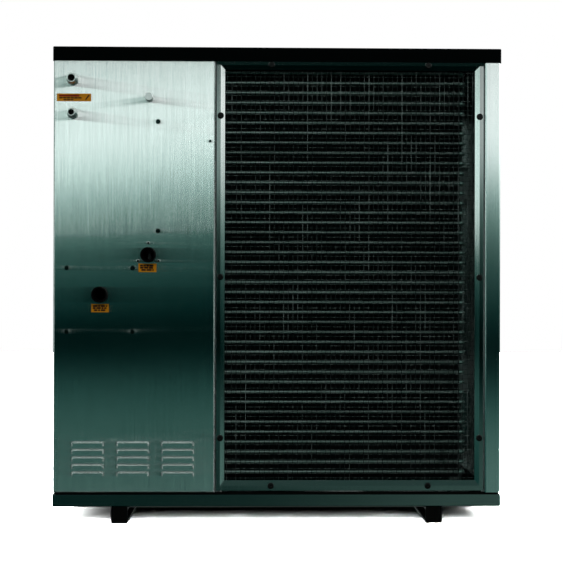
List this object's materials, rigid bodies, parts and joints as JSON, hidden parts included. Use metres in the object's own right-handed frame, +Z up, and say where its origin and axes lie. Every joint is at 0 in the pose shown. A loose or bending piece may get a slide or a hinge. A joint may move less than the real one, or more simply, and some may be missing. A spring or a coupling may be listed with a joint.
{
  "type": "pool heat pump unit",
  "caption": "Free-standing air-source pool heat pump: steel cabinet on rails, finned coil behind a wire guard, water sockets, cable glands, fans, compressor and controller.",
  "frame": {"origin": "on the floor under the middle of the unit's box, which is also the cabinet's middle", "axes": "+Z up; the coil and water side faces -Y; the fan side faces +Y; the coil is towards +X"},
  "size_m": [1.1332, 0.64, 1.2],
  "materials": {
    "lid_black": "satin",
    "pan_steel": "satin",
    "rail_black": "satin",
    "plug_black": "matte",
    "foam_black": "matte",
    "galvanised": "matte",
    "brushed_steel": "satin",
    "frame_steel": "satin",
    "wire_steel": "satin",
    "screw_black": "gloss",
    "bolt_zinc": "satin",
    "fin_aluminium": "satin",
    "copper": "satin",
    "compressor_black": "satin",
    "cast_core": "matte",
    "rubber_black": "matte",
    "valve_brass": "satin",
    "port_nickel": "satin",
    "jacket_grey": "satin",
    "titanium": "satin",
    "pipe_black": "satin",
    "switch_grey": "matte",
    "contactor_cream": "matte",
    "capacitor_can": "satin",
    "gland_silver": "satin",
    "controller_grey": "satin",
    "display_dark": "gloss",
    "flap_clear": "gloss",
    "label_amber": "satin",
    "button_dark": "satin",
    "guard_black": "satin",
    "motor_grey": "satin",
    "fan_plastic": "satin",
    "shaft_steel": "satin"
  },
  "bodies": {
    "cabinet": {"top_cover": "lid_black", "base_pan": "pan_steel", "foot_rail_left": "rail_black", "foot_rail_right": "rail_black", "foot_end_caps": "plug_black", "base_seal": "foam_black", "corner_posts": "galvanised", "divider_panel": "galvanised", "electrical_box": "galvanised", "coil_end_plates": "galvanised", "fan_bracket_lower": "galvanised", "fan_bracket_upper": "galvanised", "service_panel": "brushed_steel", "side_panel_left": "brushed_steel", "side_panel_right": "brushed_steel", "fan_panel": "brushed_steel", "control_panel": "brushed_steel", "guard_frame": "frame_steel", "wire_guard": "wire_steel", "guard_screws": "screw_black", "hex_bolts": "bolt_zinc", "small_screws": "bolt_zinc", "coil_fins": "fin_aluminium", "coil_tubes": "fin_aluminium", "coil_return_bends": "copper", "suction_header": "copper", "liquid_header": "copper", "refrigerant_pipes": "copper", "compressor_shell": "compressor_black", "accumulator": "compressor_black", "compressor_core": "cast_core", "compressor_mounts": "rubber_black", "reversing_valve": "valve_brass", "expansion_valve": "valve_brass", "service_port": "port_nickel", "exchanger_shell": "jacket_grey", "exchanger_coil": "titanium", "water_inlet": "pipe_black", "water_outlet": "pipe_black", "flow_switch": "switch_grey", "contactor": "contactor_cream", "capacitor": "capacitor_can", "cable_glands": "gland_silver", "controller_housing": "controller_grey", "controller_display": "display_dark", "labels": "label_amber", "fan_guard_lower": "guard_black", "fan_motor_lower": "motor_grey", "fan_guard_upper": "guard_black", "fan_motor_upper": "motor_grey"},
    "fan_lower": {"fan_rotor_lower": "fan_plastic", "fan_shaft_lower": "shaft_steel"},
    "fan_upper": {"fan_rotor_upper": "fan_plastic", "fan_shaft_upper": "shaft_steel"},
    "armature": {"contactor_armature": "contactor_cream"},
    "paddle": {"flow_paddle": "switch_grey"},
    "flap": {"controller_cover": "flap_clear"},
    "button_up_body": {"button_up": "button_dark"},
    "button_down_body": {"button_down": "button_dark"},
    "button_power_body": {"button_power": "button_dark"}
  },
  "joints": [
    {"name": "fan_lower_spin", "type": "hinge", "parent": "cabinet", "child": "fan_lower", "pos_m": [0.20375, 0.237, 0.35], "axis": [0, 1, 0], "continuous": true},
    {"name": "fan_upper_spin", "type": "hinge", "parent": "cabinet", "child": "fan_upper", "pos_m": [0.20375, 0.237, 0.892], "axis": [0, 1, 0], "continuous": true},
    {"name": "armature_slide", "type": "slide", "parent": "cabinet", "child": "armature", "axis": [0, -1, 0], "range_m": [0, 0.003], "stiffness_N_per_m": 400},
    {"name": "paddle_swing", "type": "hinge", "parent": "cabinet", "child": "paddle", "pos_m": [-0.3252, -0.246, 0.689], "axis": [1, 0, 0], "range_deg": [0, 28], "stiffness_Nm_per_rad": 0.004},
    {"name": "flap_hinge", "type": "hinge", "parent": "cabinet", "child": "flap", "pos_m": [-0.36, 0.3065, 1.01], "axis": [1, 0, 0], "range_deg": [0, 115]},
    {"name": "button_up_press", "type": "slide", "parent": "cabinet", "child": "button_up_body", "axis": [0, -1, 0], "range_m": [0, 0.001], "stiffness_N_per_m": 600},
    {"name": "button_down_press", "type": "slide", "parent": "cabinet", "child": "button_down_body", "axis": [0, -1, 0], "range_m": [0, 0.001], "stiffness_N_per_m": 600},
    {"name": "button_power_press", "type": "slide", "parent": "cabinet", "child": "button_power_body", "axis": [0, -1, 0], "range_m": [0, 0.001], "stiffness_N_per_m": 600}
  ]
}
